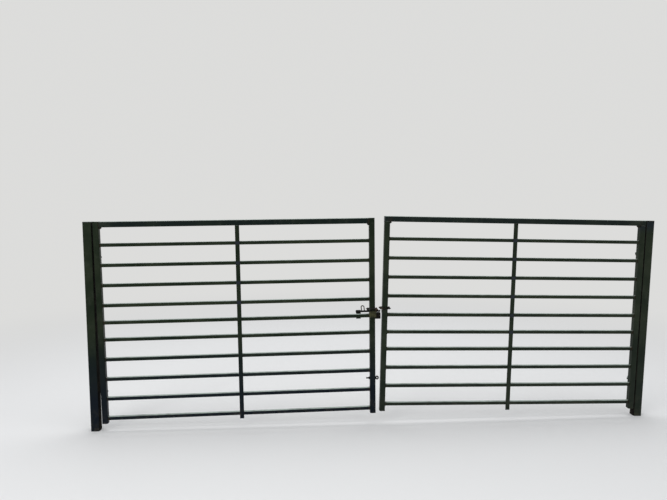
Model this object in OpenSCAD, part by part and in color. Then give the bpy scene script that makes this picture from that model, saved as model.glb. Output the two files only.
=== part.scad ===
// Pair of field gates in welded box section, hung on two steel posts.
// Millimetres. Origin at the middle of the left post's foot, +X to the
// right along the gate, +Y away from the road, +Z up. The leaves open
// towards +Y.

/* [Posts] */
// Outside width of the square posts
post_w = 60; // [55:1:80]
// Wall of the posts
post_wall = 4; // [3:0.5:6]
// Outside corner radius of the posts
post_r = 8; // [7:0.5:10]
// Thickness of the plates that close the posts
cap_t = 5; // [3:0.5:8]
// Width between the two posts at the ground
opening_w = 3985; // [3960:1:4010]
// Degrees by which the left post leans away from the opening
left_lean = 0.3; // [0:0.1:0.6]
// Degrees by which the right post leans away from the opening
right_lean = 1.0; // [0.6:0.1:1.2]

/* [Leaf frames] */
// Gap between the two leaves at their tops
meeting_gap = 74; // [66:1:82]
// Height of each leaf from the stiles' lower ends
leaf_h = 1440; // [1420:1:1470]
// Outside size of the frame tube
frame_w = 40; // [38:1:44]
// Wall of the frame tube
frame_wall = 3; // [2:0.5:4]
// Outside corner radius of the frame tube
frame_r = 6; // [5:0.5:7]
// Ground clearance of the left leaf at its hinges
left_clear = 52; // [30:1:80]
// Ground clearance of the right leaf at its hinges
right_clear = 58; // [30:1:80]
// Degrees by which the left leaf rises from square with its post
left_rise = 0.5; // [0.2:0.1:0.7]
// Degrees by which the right leaf rises from square with its post
right_rise = 0; // [0:0.1:0.3]
// Gap between a post and the top of its leaf
hinge_gap = 7; // [6:0.5:10]

/* [Bars] */
// Outside size of the bar tube
bar_w = 25; // [22:1:28]
// Wall of the bar tube
bar_wall = 2; // [1.5:0.5:3]
// Outside corner radius of the bar tube
bar_r = 3.5; // [3:0.5:5]
// Drop from the top rail to the first bar, both leaves
top_pitch = 151; // [135:1:160]
// Pitch of the left leaf's bars above its two close gaps
left_upper_pitch = 142; // [130:1:146]
// Pitch of the left leaf's two close gaps
left_close_pitch = 122; // [110:0.5:130]
// Height of the left leaf's bottom bar over its stiles' lower ends
left_bottom_rise = 48; // [40:1:70]
// Pitch of the right leaf's bars above its two close gaps
right_upper_pitch = 139; // [130:1:144]
// Pitch of the right leaf's two close gaps
right_close_pitch = 127.5; // [115:0.5:135]
// Height of the right leaf's bottom bar over its stiles' lower ends
right_bottom_rise = 63; // [50:1:90]
// Width of the flat middle upright
strap_w = 30; // [25:1:40]
// Thickness of the flat middle upright
strap_t = 6; // [4:0.5:7]
// Shift of the left middle upright towards the free stile
left_strap_shift = 5; // [-20:1:20]
// Shift of the right middle upright towards the free stile
right_strap_shift = 11; // [-20:1:20]

/* [Hinges] */
// Drop from a leaf's top to its upper hinge
upper_hinge_drop = 256; // [200:1:300]
// Rise from a stile's lower end to the lower hinge
lower_hinge_rise = 216; // [150:1:260]
// Diameter of the hinge pins
pin_d = 16; // [14:1:18]
// Length of the hinge pins above their brackets
pin_l = 46; // [36:1:60]
// Play on the radius between a pin and its eye
pin_play = 0.08; // [0.05:0.01:0.1]
// Thickness of the hinge eyes and brackets
eye_t = 12; // [10:1:16]
// Outside diameter of the hinge eyes
eye_d = 30; // [28:1:32]
// Distance from a post's back to its hinge pins
pin_back = 21; // [20.5:0.5:26]

/* [Slide bolt] */
// Diameter of the slide bolt
bolt_d = 14; // [12:1:15]
// Play on the radius between the bolt and its guides
bolt_play = 0.5; // [0.3:0.1:0.8]
// Height of the bolt's middle above the fifth bar's top
bolt_rise = 13; // [12:0.5:18]
// Length of the bolt to the left of the free stile
bolt_tail = 97; // [97:1:105]
// Distance of the bolt's tip from the right leaf when drawn
bolt_tip_gap = 7; // [7:0.5:12]
// Wall of the bolt's sleeve and of its outer guide
sleeve_wall = 3; // [3:0.5:4]
// Distance from the outer guide to the free stile
guide_gap = 62; // [62:1:66]
// Length of the outer guide
guide_l = 33; // [28:1:34]
// Depth to which the guide's plate hangs below the bolt's middle
guide_drop = 50; // [42:1:56]
// Height of the bolt's bow handle over the bolt's middle
handle_h = 50; // [40:1:54]
// Outside width of the bow handle
handle_w = 28; // [26:1:28]
// Diameter of the handle's rod
handle_d = 7; // [6:0.5:8]

/* [Lock box and eye bolt] */
// Width of the lock box in the gap between the leaves
lock_box_w = 40; // [34:1:41]
// Height of the lock box
lock_box_h = 42; // [36:1:50]
// Diameter of the rod of the lower eye bolt
eye_bolt_d = 10; // [8:1:11]
// Outside height of the eye
eye_bolt_h = 30; // [28:1:36]
// Outside length of the eye in the gap
eye_bolt_l = 27; // [26:1:28]
// Length of the shank to the left of the stile
eye_bolt_tail = 27; // [24:1:40]

/* [Chains and padlock] */
// Diameter of the chain's wire
chain_d = 5.5; // [5:0.5:6]
// Inside width of the chain's links
link_in_w = 9.5; // [9:0.5:10]
// Diameter of the padlock's shackle
shackle_d = 7; // [6:0.5:7.5]
// Width of the padlock's body
lock_w = 52; // [50:1:60]
// Height of the padlock's body
lock_h = 44; // [38:1:52]
// Depth of the padlock's body
lock_t = 24; // [20:1:26]

/* [Hidden] */
$fn = 48;

// Colours as the photograph shows them
paint = [0.10, 0.14, 0.12];
rail_paint = [0.10, 0.12, 0.17];
bare_steel = [0.45, 0.44, 0.42];
rusty = [0.36, 0.22, 0.14];
dark_metal = [0.12, 0.12, 0.12];

// Running gap between pieces that lie on each other
rest_gap = 0.3;
// Number of bars under the top rail, the bottom bar included
bar_count = 10;
// The gap, counted from the top, at which the close pitches start
left_close_at = 4;
right_close_at = 5;
// The bars that the slide bolt lies over and the eye bolt under
bolt_bar = 5;
eye_bolt_bar = 8;

// The posts end level with their leaves
left_post_h = left_clear + leaf_h;
right_post_h = right_clear + leaf_h;
right_post_x = opening_w + post_w;
// Rise of each leaf from level
left_lift = left_lean + left_rise;
right_lift = right_lean + right_rise;
// Middle plane of both leaves: their fronts are flush with the posts
leaf_y = frame_w / 2 - post_w / 2;
leaf_back_y = leaf_y + frame_w / 2;
// Hinge pins, measured from the middle of their post
pin_x = post_w / 2 + hinge_gap / 2;
pin_y = post_w / 2 + pin_back;

// Foot of a leaf's hinge stile in its post's own leaning frame
function leaf_x(rise) = post_w / 2 + hinge_gap + leaf_h * sin(rise);
// Place of the stile's post side at a height in the same frame
function stile_x(z, rise, clear) = leaf_x(rise) - (z - clear) * tan(rise);
// The leaf's foot from its post's foot, along the ground and in height
function foot_x(rise, lean, clear) =
    leaf_x(rise) * cos(lean) - clear * sin(lean);
function foot_z(rise, lean, clear) =
    leaf_x(rise) * sin(lean) + clear * cos(lean);
left_foot_x = foot_x(left_rise, left_lean, left_clear);
left_foot_z = foot_z(left_rise, left_lean, left_clear);
right_foot_x = foot_x(right_rise, right_lean, right_clear);
right_foot_z = foot_z(right_rise, right_lean, right_clear);

// Width of each leaf over its two stiles
leaf_w = (right_post_x - meeting_gap
          - left_foot_x + leaf_h * sin(left_lift)
          - right_foot_x + leaf_h * sin(right_lift))
    / (cos(left_lift) + cos(right_lift));
// Place of a leaf's free edge at a height, from its post's foot
function free_x(z, from_x, from_z, lift) =
    from_x + leaf_w * cos(lift)
    - (z - from_z - leaf_w * sin(lift)) * tan(lift);

// Height of a bar's top over the leaf's foot, bar 1 under the top rail
function drop(i, at, upper, close, lower) =
    i == 1 ? top_pitch
    : drop(i - 1, at, upper, close, lower)
        + (i == at + 1 || i == at + 2 ? close : i <= at ? upper : lower);
// What is left of a leaf's height is shared out below its close gaps
left_lower_pitch = (leaf_h - left_bottom_rise - top_pitch
    - (left_close_at - 1) * left_upper_pitch - 2 * left_close_pitch)
    / (bar_count - left_close_at - 2);
right_lower_pitch = (leaf_h - right_bottom_rise - top_pitch
    - (right_close_at - 1) * right_upper_pitch - 2 * right_close_pitch)
    / (bar_count - right_close_at - 2);
function left_bar_z(i) = leaf_h
    - drop(i, left_close_at, left_upper_pitch, left_close_pitch,
           left_lower_pitch);
function right_bar_z(i) = leaf_h
    - drop(i, right_close_at, right_upper_pitch, right_close_pitch,
           right_lower_pitch);

// Slide bolt, in the left leaf's own frame
bolt_y = frame_w / 2 + sleeve_wall + bolt_play + bolt_d / 2;
bolt_z = left_bar_z(bolt_bar) + bolt_rise;
sleeve_r = bolt_d / 2 + bolt_play + sleeve_wall;
// Height of the bolt above ground at the gap between the leaves
bolt_world_z = left_foot_z + leaf_w * sin(left_lift)
    + bolt_z * cos(left_lift);
gap_at_bolt = right_post_x
    - free_x(bolt_world_z, right_foot_x, right_foot_z, right_lift)
    - free_x(bolt_world_z, left_foot_x, left_foot_z, left_lift);
bolt_tip = leaf_w + gap_at_bolt - bolt_tip_gap;
// Chamfer on the ends of the pins and of the bolt
chamfer = 2.5;
// Distance from the bow handle's middle to the free stile, and its tilt
// to the back, past the chain
handle_at = 43;
handle_tilt = 40;
// Plate and web that carry the outer guide
guide_plate_t = 6;
guide_top = 4;
// The keeper on the right leaf, along the left leaf's own X
keeper_inset = 3;
keeper_from = leaf_w + gap_at_bolt + keeper_inset;
keeper_l = frame_w - 2 * keeper_inset;
keeper_play = 1.5;
keeper_t = 7;
// Drop of the lock box's top below the bolt's middle
lock_box_drop = 6;

// Chain: eight links round a stile. The links on its faces stand upright,
// and flat ones lead round its corners just clear of them. The links'
// length follows from the stile's size, in whole hundredths so that the
// rods and bends of a link meet exactly.
step = 0.01;
wire_r = chain_d / 2;
bend_r = link_in_w / 2 + wire_r;
link_half_h = link_in_w / 2 + chain_d;
corner_reach = frame_w / sqrt(2) - frame_r * (sqrt(2) - 1);
corner_r = corner_reach + rest_gap + link_half_h;
least_l = (sqrt(2) * corner_r - link_in_w * (1 - 1 / sqrt(2))
    + 2 * rest_gap) / (1 + 1 / sqrt(2));
link_in_l = 2 * step * ceil(least_l / (2 * step));
// Distance between the ends of two flat links, over the link on a face
face_run = link_in_l + link_in_w - 2 * rest_gap;
face_r = face_run / 2 + (link_in_l - link_in_w) / sqrt(2);
// The left chain lies on the bolt's sleeve, the right one on its keeper,
// which is square to the bolt and so slopes a little against its leaf
keeper_half_h = bolt_d / 2 + keeper_play + keeper_t;
left_chain_z = bolt_z + sleeve_r + rest_gap + link_half_h;
keeper_top_z = left_foot_z + (keeper_from + keeper_l) * sin(left_lift)
    + (bolt_z + keeper_half_h) * cos(left_lift);
right_chain_z = (keeper_top_z - right_foot_z
        - (leaf_w - frame_w / 2) * sin(right_lift)) / cos(right_lift)
    + frame_w * sin(left_lift + right_lift) + rest_gap + link_half_h;

// The padlock's shackle goes down through the ends of two flat links
shackle_half = step * floor(
    (face_run / 2 - (link_in_w - shackle_d) / 2 + rest_gap) / step);
shackle_bend = 10;
shackle_rise = 12;
lock_drop = 10;
lock_edge = 5;

// A square with round corners, from exact arcs
module round_square(w, r) {
    square([w - 2 * r, w], center = true);
    square([w, w - 2 * r], center = true);
    for (x = [-1, 1], y = [-1, 1])
        translate([x * (w / 2 - r), y * (w / 2 - r)]) circle(r);
}

// Box section standing on the XY plane
module box_tube(w, wall, r, l) {
    linear_extrude(l) difference() {
        round_square(w, r);
        round_square(w - 2 * wall, max(r - wall, 0.5));
    }
}

// Plate that closes a box section
module end_plate(w, r, t) {
    linear_extrude(t) round_square(w, r);
}

// Box section along +X, its middle line on the X axis
module tube_x(w, wall, r, l) {
    rotate([90, 0, 90]) box_tube(w, wall, r, l);
}

// Frames of the two leaning posts, and of the leaves that hang on them
module on_left_post() { rotate([0, -left_lean, 0]) children(); }
module on_right_post() {
    translate([right_post_x, 0, 0]) mirror([1, 0, 0])
        rotate([0, -right_lean, 0]) children();
}

module in_left_leaf() {
    on_left_post() translate([leaf_x(left_rise), leaf_y, left_clear])
        rotate([0, -left_rise, 0]) children();
}

module in_right_leaf() {
    on_right_post() translate([leaf_x(right_rise), leaf_y, right_clear])
        rotate([0, -right_rise, 0]) children();
}

// A post reaches below ground by foot_spare before it is cut off level
module post(h) {
    foot_spare = 4;
    color(paint) translate([0, 0, -foot_spare]) union() {
        box_tube(post_w, post_wall, post_r, h + foot_spare - cap_t);
        end_plate(post_w, post_r, foot_spare + cap_t);
    }
}

module above_ground() {
    difference() {
        children();
        translate([-post_w, -post_w, -post_w])
            cube([opening_w + 3 * post_w, 2 * post_w, post_w]);
    }
}

module post_cap(h) {
    color(rail_paint) translate([0, 0, h - cap_t])
        end_plate(post_w, post_r, cap_t);
}

module left_post() { above_ground() on_left_post() post(left_post_h); }
module left_post_cap() { on_left_post() post_cap(left_post_h); }
module right_post() { above_ground() on_right_post() post(right_post_h); }
module right_post_cap() { on_right_post() post_cap(right_post_h); }

// Bracket and pin on the back of a post, in the post's own frame
module pintle(z) {
    foot_l = post_w - 2 * post_r;
    foot_t = 10;
    slope = 8;
    base_y = -pin_back;
    // Where the bracket's edge leaves the round end, from the X axis
    edge_turn = 60;
    color(paint) translate([pin_x, pin_y, z - eye_t]) {
        linear_extrude(eye_t) {
            circle(d = eye_d);
            polygon([
                [-foot_l, base_y],
                [-hinge_gap, base_y],
                [eye_d / 2 * cos(edge_turn), -eye_d / 2 * sin(edge_turn)],
                [0, eye_d / 2],
                [slope - foot_l, base_y + foot_t],
                [-foot_l, base_y + foot_t]
            ]);
        }
        cylinder(h = eye_t + pin_l - chamfer, d = pin_d);
        translate([0, 0, eye_t + pin_l - chamfer])
            cylinder(h = chamfer, d1 = pin_d, d2 = pin_d - 2 * chamfer);
    }
}

// Eye on the back of a hinge stile, in the post's own frame
module hinge_eye(z, rise, clear) {
    stile = stile_x(z, rise, clear) - pin_x;
    side = 3;
    foot_t = 12;
    base_y = leaf_back_y - pin_y;
    // Where the back edge leaves the round end, from the X axis
    edge_turn = 35;
    color(paint) translate([pin_x, pin_y, z + rest_gap])
        linear_extrude(eye_t) difference() {
            union() {
                circle(d = eye_d);
                polygon([
                    [stile + side, base_y],
                    [stile + frame_w - side, base_y],
                    [stile + frame_w - side, base_y + foot_t],
                    [eye_d / 2 * cos(edge_turn), eye_d / 2 * sin(edge_turn)],
                    [0, 0],
                    [(hinge_gap + side) / 2, -eye_d / 3]
                ]);
            }
            circle(d = pin_d + 2 * pin_play);
        }
}

function upper_z(clear) = clear + leaf_h - upper_hinge_drop;
function lower_z(clear) = clear + lower_hinge_rise;

module left_upper_pintle() { on_left_post() pintle(upper_z(left_clear)); }
module left_lower_pintle() { on_left_post() pintle(lower_z(left_clear)); }
module right_upper_pintle() { on_right_post() pintle(upper_z(right_clear)); }
module right_lower_pintle() { on_right_post() pintle(lower_z(right_clear)); }
module left_upper_eye() {
    on_left_post() hinge_eye(upper_z(left_clear), left_rise, left_clear);
}
module left_lower_eye() {
    on_left_post() hinge_eye(lower_z(left_clear), left_rise, left_clear);
}
module right_upper_eye() {
    on_right_post() hinge_eye(upper_z(right_clear), right_rise, right_clear);
}
module right_lower_eye() {
    on_right_post() hinge_eye(lower_z(right_clear), right_rise, right_clear);
}

// Stile that runs to the top of its leaf and is closed there
module tall_stile(x) {
    color(paint) translate([x + frame_w / 2, 0, 0]) union() {
        box_tube(frame_w, frame_wall, frame_r, leaf_h);
        translate([0, 0, leaf_h - frame_wall])
            end_plate(frame_w, frame_r, frame_wall);
    }
}

// Stile that ends under its leaf's top rail
module short_stile(x) {
    color(paint) translate([x + frame_w / 2, 0, 0])
        box_tube(frame_w, frame_wall, frame_r, leaf_h - frame_w);
}

// Holes for the eye bolt's shank through the left free stile
module left_free_stile() {
    in_left_leaf() difference() {
        tall_stile(leaf_w - frame_w);
        translate([leaf_w - 2 * frame_w, 0, eye_bolt_z])
            rotate([0, 90, 0])
                cylinder(h = 2 * frame_w, d = eye_bolt_d + 2 * rest_gap);
    }
}
module left_hinge_stile() { in_left_leaf() tall_stile(0); }
module right_free_stile() { in_right_leaf() short_stile(leaf_w - frame_w); }
module right_hinge_stile() { in_right_leaf() short_stile(0); }

// The left rail is set between its stiles
module left_top_rail() {
    color(rail_paint) in_left_leaf()
        translate([frame_w, 0, leaf_h - frame_w / 2])
            tube_x(frame_w, frame_wall, frame_r, leaf_w - 2 * frame_w);
}

// The right rail lies over its stiles and has closed ends
module right_top_rail() {
    color(rail_paint) in_right_leaf()
        translate([0, 0, leaf_h - frame_w / 2]) union() {
            tube_x(frame_w, frame_wall, frame_r, leaf_w);
            for (x = [0, leaf_w - frame_wall])
                translate([x, 0, 0]) rotate([90, 0, 90])
                    end_plate(frame_w, frame_r, frame_wall);
        }
}

// Bar between the stiles, its top at height z
module bar(z) {
    color(paint) translate([frame_w, 0, z - bar_w / 2])
        tube_x(bar_w, bar_wall, bar_r, leaf_w - 2 * frame_w);
}

// Flat upright on the fronts of the bars, under the top rail
module middle_upright(shift) {
    color(paint)
        translate([(leaf_w - strap_w) / 2 + shift, -bar_w / 2 - strap_t, 0])
            cube([strap_w, strap_t, leaf_h - frame_w]);
}

module left_middle_upright() {
    in_left_leaf() middle_upright(left_strap_shift);
}
module right_middle_upright() {
    in_right_leaf() middle_upright(right_strap_shift);
}
module left_bar(i) { in_left_leaf() bar(left_bar_z(i)); }
module right_bar(i) { in_right_leaf() bar(right_bar_z(i)); }
module left_bottom_bar() { left_bar(bar_count); }
module right_bottom_bar() { right_bar(bar_count); }

// Tube round the bolt, from x on
module bolt_tube(x, l) {
    translate([x, bolt_y, bolt_z]) rotate([0, 90, 0]) linear_extrude(l)
        difference() {
            circle(sleeve_r);
            circle(d = bolt_d + 2 * bolt_play);
        }
}

// Sleeve on the back of the left free stile
module left_bolt_sleeve() {
    color(paint) in_left_leaf()
        bolt_tube(leaf_w - frame_w + rest_gap, frame_w - 2 * rest_gap);
}

// Outer guide on a plate that hangs behind the fifth bar
module left_bolt_guide() {
    from = leaf_w - frame_w - guide_gap - guide_l;
    web = bolt_y - bolt_d / 2 - bolt_play - bar_w / 2;
    color(paint) in_left_leaf() union() {
        bolt_tube(from, guide_l);
        translate([from, bar_w / 2, bolt_z - guide_drop])
            cube([guide_l, guide_plate_t, guide_drop + guide_top]);
        translate([from, bar_w / 2, bolt_z - sleeve_r])
            cube([guide_l, web, sleeve_r + guide_top]);
    }
}

// Round rod bent to a bow in the XZ plane, its legs standing at z = 0
module bow(w, h, d) {
    bend = w / 2 - d / 2;
    leg = h - w / 2;
    translate([0, 0, leg]) rotate([90, 0, 0])
        rotate_extrude(angle = 180) translate([bend, 0]) circle(d = d);
    for (s = [-1, 1])
        translate([s * bend, 0, 0]) cylinder(h = leg, d = d);
}

module slide_bolt() {
    from = leaf_w - frame_w - bolt_tail;
    color(bare_steel) in_left_leaf()
        translate([from, bolt_y, bolt_z]) union() {
            rotate([0, 90, 0])
                cylinder(h = bolt_tip - from - chamfer, d = bolt_d);
            translate([bolt_tip - from - chamfer, 0, 0]) rotate([0, 90, 0])
                cylinder(h = chamfer, d1 = bolt_d, d2 = bolt_d - 2 * chamfer);
            translate([bolt_tail - handle_at, 0, 0])
                rotate([-handle_tilt, 0, 0])
                    bow(handle_w, handle_h, handle_d);
        }
}

// Lugs over and under the bolt, and the strap behind it, on the back
// of the right free stile and square to the bolt
module right_keeper_lugs() {
    color(paint) in_left_leaf()
        for (s = [-1, 1])
            translate([
                keeper_from,
                frame_w / 2,
                bolt_z + s * (bolt_d / 2 + keeper_play + keeper_t / 2)
                    - keeper_t / 2
            ])
            cube([keeper_l, bolt_y + bolt_d / 2 + keeper_play
                  - frame_w / 2, keeper_t]);
}

module right_keeper_strap() {
    color(paint) in_left_leaf()
        translate([
            keeper_from,
            bolt_y + bolt_d / 2 + keeper_play,
            bolt_z - keeper_half_h
        ])
        cube([keeper_l, keeper_t, 2 * keeper_half_h]);
}

// Short box section with a closed top, welded to the left free stile
module left_lock_box() {
    color(dark_metal) in_left_leaf()
        translate([leaf_w + lock_box_w / 2, 0,
                   bolt_z - lock_box_drop - lock_box_h]) union() {
            box_tube(lock_box_w, frame_wall, frame_r, lock_box_h);
            translate([0, 0, lock_box_h - frame_wall])
                end_plate(lock_box_w, frame_r, frame_wall);
        }
}

// Lower eye bolt, a little above half way from the ninth bar to the eighth
eye_bolt_up = 12;
eye_bolt_z = (left_bar_z(eye_bolt_bar) - bar_w
    + left_bar_z(eye_bolt_bar + 1)) / 2 + eye_bolt_up;
module left_eye_bolt() {
    r = eye_bolt_d / 2;
    nut_t = 8;
    nut_d = 19;
    ring_r = eye_bolt_l / 2 - r;
    run = eye_bolt_h - eye_bolt_l;
    color(bare_steel) in_left_leaf()
        translate([leaf_w, 0, eye_bolt_z]) union() {
            translate([-frame_w - eye_bolt_tail, 0, 0])
                rotate([0, 90, 0])
                    cylinder(h = frame_w + eye_bolt_tail + r, r = r);
            translate([-frame_w - rest_gap - nut_t, 0, 0])
                rotate([0, 90, 0]) cylinder(h = nut_t, d = nut_d, $fn = 6);
            translate([r + ring_r, 0, 0]) {
                for (s = [-1, 1]) {
                    translate([s * ring_r, 0, -run / 2])
                        cylinder(h = run, r = r);
                    translate([0, 0, s * run / 2])
                        rotate([90 * s, 0, 0])
                            rotate_extrude(angle = 180)
                                translate([ring_r, 0]) circle(r);
                }
            }
        }
}

// One link in the XY plane, long along X
module link() {
    run = link_in_l - link_in_w;
    for (s = [-1, 1]) {
        translate([0, s * bend_r, 0]) rotate([0, 90, 0])
            cylinder(h = run, r = wire_r, center = true, $fn = 24);
        translate([s * run / 2, 0, 0]) rotate([0, 0, -90 * s])
            rotate_extrude(angle = 180, $fn = 48)
                translate([bend_r, 0]) circle(wire_r, $fn = 24);
    }
}

// Ring of links round a stile whose middle is the Z axis. The faces are
// numbered from the front one on, and those before first have no link.
module chain_ring(first = 0) {
    for (k = [first:3])
        rotate([0, 0, 90 * k]) translate([0, -face_r, 0])
            rotate([90, 0, 0]) link();
    for (k = [0:3])
        rotate([0, 0, 90 * k + 45]) translate([0, -corner_r, 0]) link();
}

// The padlock's shackle takes the place of the front link
module left_chain() {
    color(rusty) in_left_leaf()
        translate([leaf_w - frame_w / 2, 0, left_chain_z]) chain_ring(1);
}

module right_chain() {
    color(rusty) in_right_leaf()
        translate([leaf_w - frame_w / 2, 0, right_chain_z]) chain_ring();
}

module padlock_shackle() {
    r = shackle_d / 2;
    flat = shackle_half - shackle_bend;
    color(bare_steel) in_left_leaf()
        translate([leaf_w - frame_w / 2, -face_r, left_chain_z]) union() {
            translate([-flat, 0, shackle_rise]) rotate([0, 90, 0])
                cylinder(h = 2 * flat, r = r);
            for (s = [-1, 1]) {
                translate([s * flat, 0, shackle_rise - shackle_bend])
                    rotate([90, s > 0 ? 0 : -90, 0])
                        rotate_extrude(angle = 90)
                            translate([shackle_bend, 0]) circle(r);
                translate([s * shackle_half, 0, -lock_drop])
                    cylinder(h = lock_drop + shackle_rise - shackle_bend,
                             r = r);
            }
        }
}

// Body of the padlock, its back just off the stile
module padlock_body() {
    color(dark_metal) in_left_leaf()
        translate([leaf_w - frame_w / 2, -frame_w / 2 - rest_gap,
                   left_chain_z - lock_drop - lock_h])
            rotate([90, 0, 0]) linear_extrude(lock_t) union() {
                translate([-lock_w / 2, lock_edge])
                    square([lock_w, lock_h - 2 * lock_edge]);
                translate([-lock_w / 2 + lock_edge, 0])
                    square([lock_w - 2 * lock_edge, lock_h]);
                for (x = [-1, 1], y = [lock_edge, lock_h - lock_edge])
                    translate([x * (lock_w / 2 - lock_edge), y])
                        circle(lock_edge);
            }
}

left_post();
left_post_cap();
right_post();
right_post_cap();
left_upper_pintle();
left_lower_pintle();
right_upper_pintle();
right_lower_pintle();
left_top_rail();
left_hinge_stile();
left_free_stile();
left_middle_upright();
left_bar(1);  // left_bar_1
left_bar(2);  // left_bar_2
left_bar(3);  // left_bar_3
left_bar(4);  // left_bar_4
left_bar(5);  // left_bar_5
left_bar(6);  // left_bar_6
left_bar(7);  // left_bar_7
left_bar(8);  // left_bar_8
left_bar(9);  // left_bar_9
left_bottom_bar();
left_upper_eye();
left_lower_eye();
left_bolt_sleeve();
left_bolt_guide();
left_lock_box();
left_eye_bolt();
left_chain();
padlock_shackle();
padlock_body();
slide_bolt();
right_top_rail();
right_hinge_stile();
right_free_stile();
right_middle_upright();
right_bar(1);  // right_bar_1
right_bar(2);  // right_bar_2
right_bar(3);  // right_bar_3
right_bar(4);  // right_bar_4
right_bar(5);  // right_bar_5
right_bar(6);  // right_bar_6
right_bar(7);  // right_bar_7
right_bar(8);  // right_bar_8
right_bar(9);  // right_bar_9
right_bottom_bar();
right_upper_eye();
right_lower_eye();
right_keeper_lugs();
right_keeper_strap();
right_chain();
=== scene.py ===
"""Looks of the double field gate: dark green paint, rust, weld beads, the
padlock's plates and keyway, with the camera, floor and light of the photograph.

Everything is in metres in the gate's own frame: +X along the gate from the
left post, +Y to the back, +Z up.
"""
import math
import random
from typing import NamedTuple

import bmesh
import bpy
from mathutils import Matrix, Vector


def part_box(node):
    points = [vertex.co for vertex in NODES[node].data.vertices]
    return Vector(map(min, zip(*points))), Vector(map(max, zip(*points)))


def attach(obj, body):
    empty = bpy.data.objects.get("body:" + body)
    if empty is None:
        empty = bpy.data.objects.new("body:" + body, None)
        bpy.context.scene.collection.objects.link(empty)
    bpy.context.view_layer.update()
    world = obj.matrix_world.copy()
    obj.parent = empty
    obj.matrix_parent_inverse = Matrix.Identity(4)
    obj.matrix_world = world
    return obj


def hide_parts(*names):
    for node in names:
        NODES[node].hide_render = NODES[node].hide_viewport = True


SEED = 11

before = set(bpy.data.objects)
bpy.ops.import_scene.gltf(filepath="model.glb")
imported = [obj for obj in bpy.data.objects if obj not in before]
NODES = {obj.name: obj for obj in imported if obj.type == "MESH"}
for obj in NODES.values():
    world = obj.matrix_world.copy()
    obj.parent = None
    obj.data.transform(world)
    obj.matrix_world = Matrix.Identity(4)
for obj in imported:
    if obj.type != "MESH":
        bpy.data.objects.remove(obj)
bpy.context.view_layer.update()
random.seed(SEED)

# Sizes
# How far each post leans outward and each leaf rises to the middle
LEAN = {"left": math.radians(0.3), "right": math.radians(1.0)}
LIFT = {"left": math.radians(0.8), "right": math.radians(1.0)}

# Sections of the CAD's square tubes, which the beads follow
TUBE = 0.040
TUBE_CORNER = 0.006
BAR = 0.025
BAR_CORNER = 0.0035
BAR_COUNT = 10
POST = 0.060
POST_CORNER = 0.008

# The slide bolt, and its handle's legs from its left end
BOLT_R = 0.007
HANDLE_LEGS = (0.0435, 0.0645)
HANDLE_TILT = math.radians(40)


# Frames
def leaf_matrix(side):
    """From a leaf's own frame (x from its hinge side, z up its stile) to the gate's."""
    lift = LIFT[side]
    low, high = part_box(side + "_hinge_stile")
    y = (low.y + high.y) / 2
    turn = Matrix.Rotation(-lift, 4, "Y")
    if side == "left":
        return Matrix.Translation((high.x - TUBE * math.cos(lift), y, low.z)) @ turn
    flip = Matrix.Scale(-1, 4, (1, 0, 0))
    return Matrix.Translation((low.x + TUBE * math.cos(lift), y, low.z)) @ flip @ turn


def post_matrix(side):
    """From a leaning post's own frame (z up its middle) to the gate's."""
    turn = Matrix.Rotation(-LEAN[side], 4, "Y")
    if side == "left":
        return turn
    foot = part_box("right_post")[0].x + POST / 2 / math.cos(LEAN[side])
    return Matrix.Translation((foot, 0, 0)) @ Matrix.Scale(-1, 4, (1, 0, 0)) @ turn


def box_in(node, matrix):
    """Lowest and highest corner of a CAD node in another frame."""
    back = matrix.inverted()
    points = [back @ v.co for v in NODES[node].data.vertices]
    low = Vector([min(p[i] for p in points) for i in range(3)])
    high = Vector([max(p[i] for p in points) for i in range(3)])
    return low, high


def middle_z(node, matrix):
    """Height of a CAD node's middle in another frame."""
    low, high = box_in(node, matrix)
    return (low.z + high.z) / 2


LEAF = {side: leaf_matrix(side) for side in LIFT}
POST_FRAME = {side: post_matrix(side) for side in LIFT}
LEAF_W = box_in("left_free_stile", LEAF["left"])[1].x
LEAF_H = box_in("left_free_stile", LEAF["left"])[1].z
BODY = {"left": "left_leaf", "right": "right_leaf"}
# From the top down
BAR_NODES = {
    side: [f"{side}_bar_{i}" for i in range(1, BAR_COUNT)] + [f"{side}_bottom_bar"]
    for side in BODY
}
# Where the bars meet the stiles, and the way from there into the leaf
BAR_ENDS = ((TUBE, 1), (LEAF_W - TUBE, -1))


# Node trees
# Places of the colour sockets on a Mix node
MIX_FACTOR, MIX_A, MIX_B, MIX_RESULT = 0, 6, 7, 2
UNSTRETCHED = (1, 1, 1)


class Noise(NamedTuple):
    """A noise pattern. shift keeps two patterns from falling together."""

    scale: float
    detail: float = 3.0
    rough: float = 0.55
    shift: float = 0.0
    stretch: tuple = UNSTRETCHED


class Ramp(NamedTuple):
    """A smooth passage of a value from low to high."""

    low: float
    high: float
    at_low: float = 0.0
    at_high: float = 1.0


# How much of a face's normal points up, from no dust and painted sky reflection to all of it
FACES_UP = Ramp(0.45, 0.9)


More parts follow.
